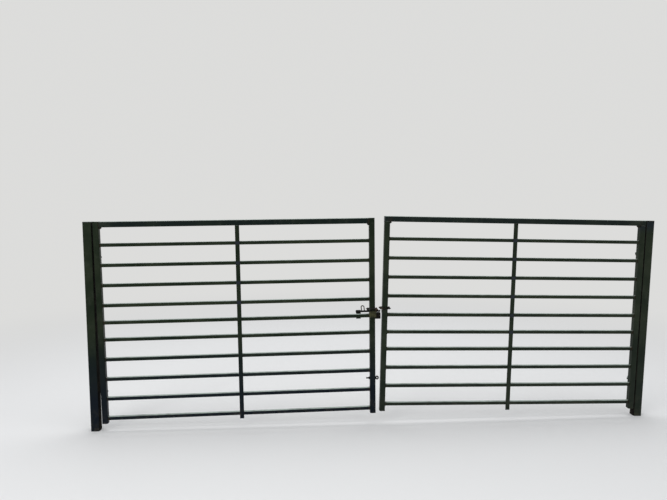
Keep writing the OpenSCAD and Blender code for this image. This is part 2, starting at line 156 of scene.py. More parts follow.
class Nodes:
    """Builds a node tree, with short names for what is used most."""

    def __init__(self, tree):
        self.tree = tree

    def new(self, kind, **settings):
        node = self.tree.nodes.new("ShaderNode" + kind)
        for key, value in settings.items():
            setattr(node, key, value)
        return node

    def put(self, value, socket):
        """Links value to the socket, or writes it there when it is plain."""
        if isinstance(value, bpy.types.NodeSocket):
            self.tree.links.new(value, socket)
        elif isinstance(value, tuple) and len(value) < len(socket.default_value):
            socket.default_value = (*value, 1.0)
        else:
            socket.default_value = value

    def fill(self, node, inputs, output=0):
        """Puts values into a node's inputs and gives one of its outputs."""
        for key, value in inputs.items():
            self.put(value, node.inputs[key])
        return node.outputs[output]

    def math(self, operation, a, b=0.0, clamp=False):
        node = self.new("Math", operation=operation, use_clamp=clamp)
        return self.fill(node, {0: a, 1: b})

    def add(self, a, b, clamp=False):
        return self.math("ADD", a, b, clamp)

    def less(self, a, b):
        return self.math("SUBTRACT", a, b)

    def times(self, a, b):
        return self.math("MULTIPLY", a, b)

    def most(self, a, b):
        return self.math("MAXIMUM", a, b)

    def apart(self, a, b):
        """Distance between two numbers."""
        return self.math("ABSOLUTE", self.less(a, b))

    def ramp(self, value, ramp, way="SMOOTHSTEP"):
        node = self.new("MapRange", interpolation_type=way)
        inputs = {
            "Value": value,
            "From Min": ramp.low,
            "From Max": ramp.high,
            "To Min": ramp.at_low,
            "To Max": ramp.at_high,
        }
        return self.fill(node, inputs)

    def mix(self, factor, a, b):
        node = self.new("Mix", data_type="RGBA")
        return self.fill(node, {MIX_FACTOR: factor, MIX_A: a, MIX_B: b}, MIX_RESULT)

    def mix_shaders(self, factor, a, b):
        return self.fill(self.new("MixShader"), {0: factor, 1: a, 2: b})


class Paint(Nodes):
    """One node material, whose x and z are the CAD's or those of another frame."""

    def __init__(self, name, matrix=None):
        self.material = bpy.data.materials.new(name)
        self.material.use_nodes = True
        super().__init__(self.material.node_tree)
        self.shader = self.tree.nodes["Principled BSDF"]
        self.coord = self.new("TexCoord").outputs["Object"]
        if matrix is not None:
            self.coord = self.to_frame(self.coord, matrix)
        split = self.new("SeparateXYZ")
        self.put(self.coord, split.inputs[0])
        self.x, _, self.z = split.outputs

    def to_frame(self, coord, matrix):
        """The same point in another frame, as three dot products."""
        back = matrix.inverted()
        join = self.new("CombineXYZ")
        for i in range(3):
            row = self.new("VectorMath", operation="DOT_PRODUCT")
            along = self.fill(row, {0: coord, 1: back[i][:3]}, "Value")
            self.put(self.add(along, back[i][3]), join.inputs[i])
        return join.outputs[0]

    def noise(self, pattern):
        coord = self.coord
        if pattern.shift or pattern.stretch != UNSTRETCHED:
            shift = (pattern.shift,) * 3
            inputs = {"Vector": coord, "Location": shift, "Scale": pattern.stretch}
            coord = self.fill(self.new("Mapping"), inputs)
        inputs = {
            "Vector": coord,
            "Scale": pattern.scale,
            "Detail": pattern.detail,
            "Roughness": pattern.rough,
        }
        return self.fill(self.new("TexNoise"), inputs, "Fac")

    def upward(self):
        """How far the surface faces up: 0 at the sides, 1 on top."""
        normal = self.new("NewGeometry").outputs["Normal"]
        return self.ramp(self.fill(self.new("SeparateXYZ"), {0: normal}, 2), FACES_UP)

    def bump(self, height, distance, strength=1.0):
        inputs = {"Height": height, "Distance": distance, "Strength": strength}
        self.put(self.fill(self.new("Bump"), inputs), self.shader.inputs["Normal"])

    def finish(self, colour, roughness, specular, metallic=0.0):
        inputs = {
            "Base Color": colour,
            "Roughness": roughness,
            "Metallic": metallic,
            "Specular IOR Level": specular,
        }
        self.fill(self.shader, inputs)
        return self.material


# Colours of the paint
GREEN = (0.0055, 0.0120, 0.0050)
GREEN_WORN = (0.0175, 0.0250, 0.0125)
TEAL = (0.0036, 0.0090, 0.0080)
TEAL_WORN = (0.0090, 0.0155, 0.0100)
# Painted shade: the bluish dark that the foot takes
NAVY_SHADE = (0.0020, 0.0050, 0.0110)
NAVY_HEAD = (0.0040, 0.0085, 0.0150)
TOUCH_UP = (0.0185, 0.0225, 0.0300)

# Colours of what lies on it; the dust also stands for a painted sky reflection, and the
# grime for painted shade in a gap
RUST_DARK = (0.024, 0.012, 0.007)
RUST_LIGHT = (0.078, 0.040, 0.020)
LICHEN = (0.040, 0.047, 0.034)
# Pale dust, and a painted sky reflection, on faces that look up
DUST_AND_SKY_SHEEN = (0.360, 0.420, 0.380)
MUD = (0.060, 0.052, 0.036)
# Painted shade with some dirt, for the faces in the gap between post and stile
GAP_SHADE_GRIME = (0.0040, 0.0036, 0.0028)
GAP_SHADE_GRIME_DRY = (0.0240, 0.0210, 0.0140)

# Worn paint: broad patches, streaks that run down, and a fine grain
BROAD = Noise(3.1, 4.0)
FINE = Noise(55.0, 4.0, 0.6, shift=3.7)
STREAK = Noise(26.0, 3.0, 0.6, shift=1.3, stretch=(1.0, 1.0, 0.12))
WORN_PATCHES = Ramp(0.38, 0.66)
WORN_STREAKS = Ramp(0.54, 0.76, 0.0, 0.60)
GLOSS = Ramp(0.30, 0.70, 0.30, 0.42)

LICHEN_NOISE = Noise(12.0, 6.0, 0.68, shift=6.3)
LICHEN_SHARE = 0.45
LICHEN_PATCHES = Ramp(0.50, 0.70, 0.0, LICHEN_SHARE)
LICHEN_GRAIN = Ramp(0.35, 0.62, 0.25, 1.0)

# Heights over the ground between which the painted bluish shade at the foot passes into
# green, and how much the broad patches move that edge and the edge of the navy head
FOOT_LOW, FOOT_HIGH = 0.30, 0.95
FOOT_EDGE = 0.3
HEAD_EDGE = 0.12
HEAD_FADE = 0.08
BESIDE_HINGE = Ramp(0.06, 0.12, 0.75, 0.0)

# Touched-up paint: how far from a bar's middle it reaches, how much the grain
# moves its edge, and how it thins in the patches of lichen
TOUCH_REACH = Ramp(0.012, 0.024, 1.0, 0.0)
TOUCH_EDGE = 0.012
TOUCH_THINS = Ramp(0.0, LICHEN_SHARE, 0.90, 0.55)

# Dust and painted sky reflection on faces that look up: the noise between their thin and
# their full places, and how dull they make them
DUST_AND_SHEEN_NOISE = Noise(9.0, 5.0, 0.6, shift=8.1)
DUST_AND_SHEEN_LOW, DUST_AND_SHEEN_HIGH = 0.25, 0.60
DUST_AND_SHEEN_THIN = 0.55
DUST_AND_SHEEN_DULLS = 0.30

SPLASH_NOISE = Noise(38.0, 5.0, 0.65, shift=5.0)
SPLASH_SPOTS = Ramp(0.46, 0.66)
SPLASH_HEIGHT = Ramp(0.01, 0.22, 1.0, 0.0)
SPLASH_SHARE = 0.40

# Rust beside the welds, and in small chips anywhere
RUST_NOISE = Noise(85.0, 4.0, 0.65, shift=2.2)
RUST_REACH = Ramp(0.002, 0.022, 1.0, 0.0)
RUST_LOW, RUST_HIGH = 0.44, 0.60
RUST_GRAIN = Ramp(0.35, 0.65)
CHIP_NOISE = Noise(30.0, 6.0, 0.7, shift=11.0)
CHIPS = Ramp(0.72, 0.77)
CHIP_SHARE = 0.8
RUST_DULLS = 0.45

# Painted shade, with some dirt, on the faces that hide in the gap between post and stile
GAP_SHADE_NOISE = Noise(16.0, 6.0, 0.7, shift=14.0)
GAP_SHADE_DRIES = Ramp(0.42, 0.68)
GAP_FACE = Ramp(-0.0035, -0.0005)

PAINT_GRAIN = 0.25
PAINT_RELIEF = 0.0008


def painted(
    name,
    base=GREEN,
    worn=GREEN_WORN,
    matrix=None,
    ground=0.0,
    cool=0.0,
    head=None,
    touched_up=(),
    dust_and_sheen_share=0.75,
    joints_x=(),
    joint_rust=0.6,
    shaded_gap_face=None,
    specular=0.15,
):
    """Weathered enamel, in the frame that matrix gives.

    ground is the ground's height there, and cool is how much bluish shade is painted at the
    foot.
    Beside the hinges the paint is navy again above the height head.
    touched_up are the heights at which it was painted over in a bluer grey.
    bloom is how much pale dust lies on the faces that look up, together with
    a painted sky reflection. joints_x are the places along x where members
    are welded and rust starts, as thick as joint_rust. shaded_gap_face is the face,
    as its x and the way it looks, that hides in the narrow gap between post
    and stile, where painted shade darkens it along with some dirt.
    """
    p = Paint(name, matrix)
    broad = p.noise(BROAD)
    fine = p.noise(FINE)
    height = p.less(p.z, ground)

    colour = p.mix(p.ramp(broad, WORN_PATCHES), base, worn)
    colour = p.mix(p.ramp(p.noise(STREAK), WORN_STREAKS), colour, worn)
    patches = p.ramp(p.noise(LICHEN_NOISE), LICHEN_PATCHES)
    colour = p.mix(p.times(patches, p.ramp(fine, LICHEN_GRAIN)), colour, LICHEN)

    # Painted shade: bluer and darker towards the ground
    edge = p.add(height, p.times(broad, FOOT_EDGE))
    colour = p.mix(p.ramp(edge, Ramp(FOOT_LOW, FOOT_HIGH, cool, 0.0)), colour, NAVY_SHADE)
    if head:
        edge = p.add(height, p.times(broad, HEAD_EDGE))
        above = p.ramp(edge, Ramp(head, head + HEAD_FADE))
        colour = p.mix(p.times(above, p.ramp(p.x, BESIDE_HINGE)), colour, NAVY_HEAD)
    for z in touched_up:
        edge = p.add(p.apart(p.z, z), p.times(fine, TOUCH_EDGE))
        over = p.times(p.ramp(edge, TOUCH_REACH), p.ramp(patches, TOUCH_THINS))
        colour = p.mix(over, colour, TOUCH_UP)

    # Dust, bleached paint and a painted sky reflection on the faces that look up
    dust_and_sheen = Ramp(DUST_AND_SHEEN_LOW, DUST_AND_SHEEN_HIGH, DUST_AND_SHEEN_THIN * dust_and_sheen_share, dust_and_sheen_share)
    top = p.times(p.upward(), p.ramp(p.noise(DUST_AND_SHEEN_NOISE), dust_and_sheen))
    colour = p.mix(top, colour, DUST_AND_SKY_SHEEN)
    # Dried splashes near the ground
    spots = p.ramp(p.noise(SPLASH_NOISE), SPLASH_SPOTS)
    splash = p.times(p.ramp(height, SPLASH_HEIGHT), spots)
    colour = p.mix(p.times(splash, SPLASH_SHARE), colour, MUD)

    # Rust
    patch = p.noise(RUST_NOISE)
    rust = 0.0
    if joints_x:
        near = 0.0
        for x in joints_x:
            near = p.most(p.ramp(p.apart(p.x, x), RUST_REACH), near)
        rust = p.times(near, p.ramp(patch, Ramp(RUST_LOW, RUST_HIGH, 0.0, joint_rust)))
    chips = p.ramp(p.noise(CHIP_NOISE), CHIPS)
    rust = p.most(p.times(chips, CHIP_SHARE), rust)
    colour = p.mix(rust, colour, p.mix(p.ramp(fine, RUST_GRAIN), RUST_DARK, RUST_LIGHT))

    rough = p.add(p.ramp(fine, GLOSS), p.times(top, DUST_AND_SHEEN_DULLS))
    rough = p.add(rough, p.times(p.most(rust, splash), RUST_DULLS), clamp=True)
    # Painted shade with some dirt: dark and rough on the face in the gap between post and
    # stile
    if shaded_gap_face:
        face_x, way = shaded_gap_face
        gap_shade = p.ramp(p.times(p.less(p.x, face_x), way), GAP_FACE)
        dry = p.ramp(p.noise(GAP_SHADE_NOISE), GAP_SHADE_DRIES)
        colour = p.mix(gap_shade, colour, p.mix(dry, GAP_SHADE_GRIME, GAP_SHADE_GRIME_DRY))
        rough = p.most(rough, gap_shade)
    p.bump(p.add(p.times(fine, PAINT_GRAIN), p.times(rust, patch)), PAINT_RELIEF)
    return p.finish(colour, rough, specular)


# Rusty iron
GRAIN_FINER = 5
IRON_BLOTCHES = Ramp(0.34, 0.66)
IRON_SPECKS = Ramp(0.58, 0.80, 0.0, 0.6)
IRON_DULL = Ramp(0.3, 0.7, 0.55, 0.85)
IRON_RELIEF = 0.0004
IRON_STRENGTH = 0.8


def blotches(scale):
    return Noise(scale, detail=5.0, rough=0.65)


def iron_noises(p, scale):
    """Blotches, and a grain that is finer by GRAIN_FINER."""
    grain = Noise(scale * GRAIN_FINER, rough=0.6, shift=4.0)
    return p.noise(blotches(scale)), p.noise(grain)


def iron_finish(p, colour, blotch, grain, specks, specular):
    colour = p.mix(p.ramp(grain, IRON_SPECKS), colour, specks)
    p.bump(p.add(blotch, grain), IRON_RELIEF, IRON_STRENGTH)
    return p.finish(colour, p.ramp(blotch, IRON_DULL), specular)


def rusty(name, dark, light, scale, specular):
    p = Paint(name)
    blotch, grain = iron_noises(p, scale)
    colour = p.mix(p.ramp(blotch, IRON_BLOTCHES), dark, light)
    return iron_finish(p, colour, blotch, grain, dark, specular)


CHAIN_BLOTCH = 120.0
CHAIN_EDGE = 0.006
CHAIN_BLACK = (0.0035, 0.0030, 0.0026)
CHAIN_SOOT = (0.0160, 0.0115, 0.0085)
CHAIN_BROWN = (0.0180, 0.0115, 0.0070)
CHAIN_SPECKS = (0.0060, 0.0045, 0.0035)
LEFT_CHAIN_LIGHT = (0.115, 0.072, 0.042)
RIGHT_CHAIN_LIGHT = (0.050, 0.034, 0.022)
SOOT_BLOTCHES = Ramp(0.36, 0.66)
BROWN_BLOTCHES = Ramp(0.34, 0.62)


def chain_rust(side, light):
    """Rusty links: near black on the stile, brown in the gap between the leaves."""
    p = Paint(side + "_chain_rust", LEAF[side])
    blotch, grain = iron_noises(p, CHAIN_BLOTCH)
    black = p.mix(p.ramp(blotch, SOOT_BLOTCHES), CHAIN_BLACK, CHAIN_SOOT)
    brown = p.mix(p.ramp(blotch, BROWN_BLOTCHES), CHAIN_BROWN, light)
    in_gap = p.ramp(p.x, Ramp(LEAF_W - CHAIN_EDGE, LEAF_W + CHAIN_EDGE))
    colour = p.mix(in_gap, black, brown)
    return iron_finish(p, colour, blotch, grain, CHAIN_SPECKS, specular=0.1)


SHACKLE_BRIGHT = (0.022, 0.021, 0.021)
SHACKLE_SCRATCHED = (0.0132, 0.0126, 0.0126)
SHACKLE_STAIN = (0.012, 0.009, 0.007)
STAIN_BLOTCH = 70.0
STAINS = Ramp(0.42, 0.62)
SCRATCH = Noise(420.0, rough=0.6, stretch=(0.06, 1.0, 1.0))
SCRATCHES = Ramp(0.35, 0.7, 0.0, 0.35)
STAIN_METAL = Ramp(0.1, 0.8, 0.6, 0.1)
STAIN_DULL = Ramp(0.0, 1.0, 0.40, 0.80)


def shackle_steel():
    """Bare steel that has dulled and taken some rust."""
    p = Paint("shackle_steel")
    stains = p.ramp(p.noise(blotches(STAIN_BLOTCH)), STAINS)
    scratch = p.noise(SCRATCH)
    colour = p.mix(p.ramp(scratch, SCRATCHES), SHACKLE_BRIGHT, SHACKLE_SCRATCHED)
    colour = p.mix(stains, colour, SHACKLE_STAIN)
    p.bump(p.add(scratch, stains), distance=0.0002, strength=0.6)
    rough, metal = p.ramp(stains, STAIN_DULL), p.ramp(stains, STAIN_METAL)
    return p.finish(colour, rough, specular=0.2, metallic=metal)


# How far the passage between two finishes of one piece reaches round their border
BORDER_BELOW, BORDER_ABOVE = 0.001, 0.004

BOLT_BLOTCH = 90.0
BOLT_GREASE = (0.0030, 0.0030, 0.0032)
BOLT_GREASE_DRY = (0.0130, 0.0105, 0.0085)
BOLT_GREASE_BLOTCHES = Ramp(0.40, 0.66)
HANDLE_DARK = (0.0110, 0.0070, 0.0045)
HANDLE_BROWN = (0.0480, 0.0300, 0.0180)
HANDLE_BLOTCHES = Ramp(0.36, 0.62)
BOLT_DULL = Ramp(0.35, 0.7, 0.42, 0.75)


def border_at(z):
    return Ramp(z - BORDER_BELOW, z + BORDER_ABOVE)


def bolt_steel():
    """Greasy black bolt, whose bow handle above it is brown with rust."""
    p = Paint("bolt_steel", LEAF["left"])
    low, _ = box_in("slide_bolt", LEAF["left"])
    height = p.less(p.z, low.z + BOLT_R)
    blotch = p.noise(blotches(BOLT_BLOTCH))
    grease = p.mix(p.ramp(blotch, BOLT_GREASE_BLOTCHES), BOLT_GREASE, BOLT_GREASE_DRY)
    brown = p.mix(p.ramp(blotch, HANDLE_BLOTCHES), HANDLE_DARK, HANDLE_BROWN)
    p.bump(blotch, distance=0.0003, strength=0.7)
    colour = p.mix(p.ramp(height, border_at(BOLT_R)), grease, brown)
    return p.finish(colour, p.ramp(blotch, BOLT_DULL), specular=0.12)


PIN_BLOTCH = 110.0
PIN_GREASE = (0.012, 0.008, 0.006)
PIN_RUST = (0.060, 0.034, 0.019)
PIN_PAINT_BLOTCHES = Ramp(0.38, 0.66)
PIN_BLOTCHES = Ramp(0.40, 0.62)
PIN_EDGE = 0.006
PIN_DULL = Ramp(0.35, 0.7, 0.35, 0.70)


def pin_steel(node):
    """A painted bracket whose pin above it is brown and greasy."""
    matrix = POST_FRAME[node.split("_")[0]]
    p = Paint(node + "_steel", matrix)
    bracket_top = box_in(node.replace("pintle", "eye"), matrix)[0].z
    blotch = p.noise(blotches(PIN_BLOTCH))
    paint = p.mix(p.ramp(blotch, PIN_PAINT_BLOTCHES), GREEN, GREEN_WORN)
    grease = p.mix(p.ramp(blotch, PIN_BLOTCHES), PIN_GREASE, PIN_RUST)
    edge = p.add(p.z, p.times(blotch, PIN_EDGE))
    colour = p.mix(p.ramp(edge, border_at(bracket_top)), paint, grease)
    p.bump(blotch, IRON_RELIEF, IRON_STRENGTH)
    return p.finish(colour, p.ramp(blotch, PIN_DULL), specular=0.2)


class Weather(NamedTuple):
    """What the photograph shows of the paint on one side of the gate."""

    cool: float  # how much bluish shade is painted near the ground
    sheen: float  # how strongly it mirrors the sky
    head: float  # height above which it is navy beside the hinges, or None
    touched_up: int  # at how many upper bars its middle upright is touched up


WEATHER = {
    "left": Weather(cool=0.9, sheen=0.09, head=None, touched_up=4),
    "right": Weather(cool=0.15, sheen=0.15, head=1.45, touched_up=6),
}


def side_materials(side, look):
    """Paint of a leaf, its bars, its middle upright and its rail, and of a post."""
    leaf = {"matrix": LEAF[side], "ground": -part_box(f"{side}_hinge_stile")[0].z}
    green = {"cool": look.cool, "specular": look.sheen}
    ends = [x for x, _ in BAR_ENDS]
    crossed = BAR_NODES[side][: look.touched_up]
    levels = [middle_z(node, LEAF[side]) for node in crossed]
    return {
        side: painted(
            f"{side}_enamel", **leaf, **green, head=look.head, shaded_gap_face=(0.0, -1)
        ),
        f"{side}_upright": painted(
            f"{side}_upright_enamel", **leaf, **green, head=look.head, touched_up=levels
        ),
        f"{side}_bar": painted(
            f"{side}_bar_enamel", **leaf, **green, joints_x=ends, dust_and_sheen_share=0.95
        ),
        f"{side}_rail": painted(
            f"{side}_rail_enamel", TEAL, TEAL_WORN, **leaf, specular=look.sheen,
            joints_x=ends, joint_rust=0.3, dust_and_sheen_share=0.9,
        ),
        f"{side}_post": painted(
            f"{side}_post_enamel", matrix=POST_FRAME[side], **green,
            head=look.head, shaded_gap_face=(POST / 2, 1),
        ),
    }


# Keeps splashes and the painted bluish shade at the foot off the weld beads
FAR_BELOW = -1.0

# Dark rusty steel of the lock box, eye bolt and guide, made near black as painted shade
BOX_SHADE_DARK, BOX_LIGHT = (0.0025, 0.0025, 0.0020), (0.0100, 0.0085, 0.0060)
LOCK_DARK, LOCK_LIGHT = (0.021, 0.022, 0.009), (0.060, 0.060, 0.026)
KEYWAY_SHADE, KEYWAY_LIGHT = (0.004, 0.004, 0.004), (0.010, 0.009, 0.008)

MATERIALS = {
    "cap": painted("cap_enamel", TEAL, TEAL_WORN, dust_and_sheen_share=0.9),
    "weld": painted("weld_enamel", GREEN, RUST_DARK, ground=FAR_BELOW, dust_and_sheen_share=0.5),
    "left_chain": chain_rust("left", LEFT_CHAIN_LIGHT),
    "right_chain": chain_rust("right", RIGHT_CHAIN_LIGHT),
    "steel": shackle_steel(),
    # Dark rusty steel, darkened further as painted shade
    "dark": rusty("dark_box", BOX_SHADE_DARK, BOX_LIGHT, scale=45.0, specular=0.12),
    "lock": rusty("lock_body", LOCK_DARK, LOCK_LIGHT, scale=48.0, specular=0.2),
    # The keyway's near black is painted shade of the key's slot
    "black": rusty("keyhole_black", KEYWAY_SHADE, KEYWAY_LIGHT, scale=90.0, specular=0.3),
    "bolt": bolt_steel(),
}
for side, look in WEATHER.items():
    MATERIALS.update(side_materials(side, look))

# The material of a CAD node, by the end of its name. All others take their leaf's.
ENDINGS = {
    "post": "{side}_post",
    "post_cap": "cap",
    "top_rail": "{side}_rail",
    "middle_upright": "{side}_upright",
    "bar": "{side}_bar",
    "chain": "{side}_chain",
    "padlock_body": "lock",
    "padlock_shackle": "steel",
    "slide_bolt": "bolt",
    "lock_box": "dark",
    "eye_bolt": "dark",
    "bolt_guide": "dark",
}


def material_of(node):
    """The material of a CAD node. Each pintle has its own, by its bracket's height."""
    if node.endswith("pintle"):
        return pin_steel(node)
    side = node.split("_")[0]
    kind = node.rstrip("_0123456789")
    for ending, key in ENDINGS.items():
        if kind.endswith(ending):
            return MATERIALS[key.format(side=side)]
    return MATERIALS[side]


for name, node in NODES.items():
    node.data.materials.clear()
    node.data.materials.append(material_of(name))


# Mesh helpers
BEAD_SIDES = 6
Y_AXIS = Vector((0, 1, 0))
# A path that runs this nearly along Y needs another vector to turn its rings by
NEARLY_Y = 0.99


def add_object(name, build, material, body, matrix, smooth=True):
    """Makes one object from what build puts into a bmesh in the frame matrix."""
    bm = bmesh.new()
    build(bm)
    bm.transform(matrix)
    bmesh.ops.recalc_face_normals(bm, faces=bm.faces)
    mesh = bpy.data.meshes.new(name)
    bm.to_mesh(mesh)
    bm.free()
    for face in mesh.polygons:
        face.use_smooth = smooth
    mesh.materials.append(material)
    obj = bpy.data.objects.new(name, mesh)
    bpy.context.scene.collection.objects.link(obj)
    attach(obj, body)
    return obj


def circle(count):
    """Angles of count points round a circle."""
    return [2 * math.pi * k / count for k in range(count)]


def join_rings(bm, rings, closed=False):
    """Skins a row of rings of corners."""
    ahead = rings[1:] + rings[:1] if closed else rings[1:]
    for a, b in zip(rings, ahead):
        n = len(a)
        for k in range(n):
            bm.faces.new((a[k], a[(k + 1) % n], b[(k + 1) % n], b[k]))


def tube(bm, path, radii, closed):
    """Sweeps a round section along path, with one radius for each point."""
    count = len(path)
    rings = []
    for i, point in enumerate(path):
        ahead = path[(i + 1) % count] if closed or i + 1 < count else path[i]
        behind = path[i - 1] if closed or i else path[i]
        along = (ahead - behind).normalized()
        side = along.orthogonal() if abs(along.y) > NEARLY_Y else along.cross(Y_AXIS)
        across = side.normalized()
        other = along.cross(across)
        rings.append([
            bm.verts.new(point + radii[i] * (math.cos(a) * across + math.sin(a) * other))
            for a in circle(BEAD_SIDES)
        ])
    join_rings(bm, rings, closed)
    if not closed:
        bm.faces.new(rings[0])
        bm.faces.new(list(reversed(rings[-1])))


# Weld beads
# A hand-made bead: its radius, the pitch of its ripples, and how much of its
# radius is even, rippled and uneven
BEAD_R = 0.0024
RIPPLE = 0.0045
EVEN_SHARE, RIPPLE_SHARE, UNEVEN_SHARE = 0.90, 0.22, 0.06
POINTS_PER_RIPPLE = 3
LEAST_POINTS = 4
LEAST_SIDE_POINTS = 3
CORNER_POINTS = 3
END_TAPER = 0.5

# How far a bead's middle stands off the corner it fills, or lies within it
PROUD = 0.0006
CLOSE = 0.0005
TIGHT = 0.0004
BAR_END_OFF = 0.0008
SUNK = 0.0010
# What a bead leaves free at its ends, along a plate and across a bar
PLATE_MARGIN = 0.002
BAR_MARGIN = 0.004

# Radii of the finer and heavier beads
STRAP_BEAD_R = 0.0021
RAIL_BEAD_R = 0.0022
CAP_BEAD_R = 0.0018
PLATE_BEAD_R = 0.0020
HEAVY_BEAD_R = 0.0030
CORNER_BEAD_R = 0.0050

# Heavy fillets in the leaves' upper corners, as rows of slanting beads
CORNER_ROWS = (-0.010, 0.0, 0.010)
CORNER_REACHES = (0.0035, 0.007, 0.0105)

# Between a hinge's bracket and its eye, and half the length of an eye's beads
HINGE_PLAY = 0.0003
EYE_BEAD_HALF = 0.012

# Beads along the sleeve, at the guide's bar and at the lock box
LATCH_BAR = "left_bar_5"
SLEEVE_BEAD_Y = 0.0022
SLEEVE_BEAD_Z = 0.0060
BOX_BEAD_X = 0.0012
BOX_BEAD_Y = 0.004

# The ring of bead round a leg of the bow handle, and how far it stands off the bolt
LEG_BEAD_R = 0.0014
LEG_RING_R = 0.0040
LEG_RING_LENGTH = 0.025
LEG_RING_POINTS = 18
LEG_BEAD_OFF = 0.0002


def rippled(length, radius, steps):
    """Radii of a hand-made weld bead along its length."""
    start = random.random() * math.pi
    radii = []
    for i in range(steps):
        wave = abs(math.sin(start + math.pi * length * i / steps / RIPPLE))
        share = EVEN_SHARE + RIPPLE_SHARE * wave + UNEVEN_SHARE * random.random()
        radii.append(radius * share)
    return radii


def bead_line(bm, a, b, radius=BEAD_R):
    """A straight bead from a to b, thin at its ends."""
    a, b = Vector(a), Vector(b)
    length = (b - a).length
    steps = max(LEAST_POINTS, int(POINTS_PER_RIPPLE * length / RIPPLE))
    path = [a.lerp(b, i / (steps - 1)) for i in range(steps)]
    radii = rippled(length, radius, steps)
    radii[0] *= END_TAPER
    radii[-1] *= END_TAPER
    tube(bm, path, radii, False)


def round_square(half, corner, steps):
    """Closed outline of a square with round corners, in (u, v)."""
    points = []
    inner = half - corner
    quarter_turn = math.pi / 2
    for quarter, signs in enumerate(((1, 1), (-1, 1), (-1, -1), (1, -1))):
        start = quarter * quarter_turn
        centre = inner * Vector(signs)
        for k in range(CORNER_POINTS + 1):
            a = start + quarter_turn * k / CORNER_POINTS
            points.append(centre + corner * Vector((math.cos(a), math.sin(a))))
        last = points[-1]
        end = start + quarter_turn
        along = Vector((-math.sin(end), math.cos(end)))
        for k in range(1, steps):
            points.append(last + along * (2 * inner * k / steps))
    return points


def bead_square(bm, centre, half, corner, axis, radius=BEAD_R):
    """A bead round a square member. axis is the member's own, x or z."""
    straight = 2 * (half - corner)
    steps = max(LEAST_SIDE_POINTS, int(POINTS_PER_RIPPLE * straight / RIPPLE))
    x, y, z = centre
    path = [
        Vector((x, y + u, z + v) if axis == "x" else (x + u, y + v, z))
        for u, v in round_square(half, corner, steps)
    ]
    length = 4 * 2 * half
    tube(bm, path, rippled(length, radius, len(path)), True)


def weld(name, build, body, matrix):
    add_object(name, build, MATERIALS["weld"], body, matrix)


def leaf_welds(side):
    """Beads of the bars, the middle upright and the top rail, in the leaf's frame."""
    leaf = LEAF[side]
    front = -BAR / 2 - PROUD

    def build(bm):
        strap_low, strap_high = box_in(side + "_middle_upright", leaf)
        for node in BAR_NODES[side]:
            z = middle_z(node, leaf)
            for x, inward in BAR_ENDS:
                centre = (x + inward * BAR_END_OFF, 0, z)
                bead_square(bm, centre, BAR / 2 + PROUD, BAR_CORNER, "x")
            # Fillets down both edges of the flat upright where it crosses a bar
            z0 = z - BAR / 2 + BAR_MARGIN
            z1 = z + BAR / 2 - BAR_MARGIN
            for x in (strap_low.x - PROUD, strap_high.x + PROUD):
                bead_line(bm, (x, front, z0), (x, front, z1), STRAP_BEAD_R)
        # The flat upright under the top rail
        rail_z = box_in(side + "_top_rail", leaf)[0].z
        a = (strap_low.x + PLATE_MARGIN, strap_low.y, rail_z - PROUD)
        b = (strap_high.x - PLATE_MARGIN, strap_low.y, rail_z - PROUD)
        bead_line(bm, a, b, STRAP_BEAD_R)
        # The left rail between its stiles, the right one on top of them
        half = TUBE / 2 - SUNK
        for x, inward in BAR_ENDS:
            if side == "left":
                centre, axis = (x, 0, LEAF_H - TUBE / 2), "x"
            else:
                centre, axis = (x - inward * TUBE / 2, 0, rail_z), "z"
            bead_square(bm, centre, half, TUBE_CORNER, axis, RAIL_BEAD_R)
        for x, inward in BAR_ENDS:
            for y in CORNER_ROWS:
                for reach in CORNER_REACHES:
                    a = (x + inward * reach, y, rail_z - CLOSE)
                    b = (x + inward * CLOSE, y, rail_z - reach)
                    bead_line(bm, a, b, CORNER_BEAD_R)

    weld(side + "_welds", build, BODY[side], leaf)


def post_welds(side):
    """Beads of a post's cap and of its two hinge brackets, in the post's frame."""
    post = POST_FRAME[side]
    y = POST / 2 + PROUD

    def build(bm):
        cap_z = box_in(side + "_post_cap", post)[0].z
        bead_square(bm, (0, 0, cap_z), POST / 2 - SUNK, POST_CORNER, "z", CAP_BEAD_R)
        for level in ("upper", "lower"):
            low, _ = box_in(f"{side}_{level}_pintle", post)
            top = box_in(f"{side}_{level}_eye", post)[0].z - HINGE_PLAY
            x0, x1 = low.x + PLATE_MARGIN, POST / 2 - POST_CORNER
            for z in (low.z - CLOSE, top + CLOSE):
                bead_line(bm, (x0, y, z), (x1, y, z))

    weld(side + "_post_welds", build, "posts", post)


def hinge_welds(side):
    """Beads of the two hinge eyes on the back of a stile, in the post's frame."""
    post = POST_FRAME[side]
    to_post = post.inverted() @ LEAF[side]

    def build(bm):
        for level in ("upper", "lower"):
            low, high = box_in(f"{side}_{level}_eye", post)
            leaf_z = (low.z + high.z) / 2 - to_post.translation.z
            x, y, _ = to_post @ Vector((TUBE / 2, TUBE / 2 + PROUD, leaf_z))
            for z in (low.z - CLOSE, high.z + CLOSE):
                bead_line(bm, (x - EYE_BEAD_HALF, y, z), (x + EYE_BEAD_HALF, y, z))

    weld(side + "_hinge_welds", build, BODY[side], post)


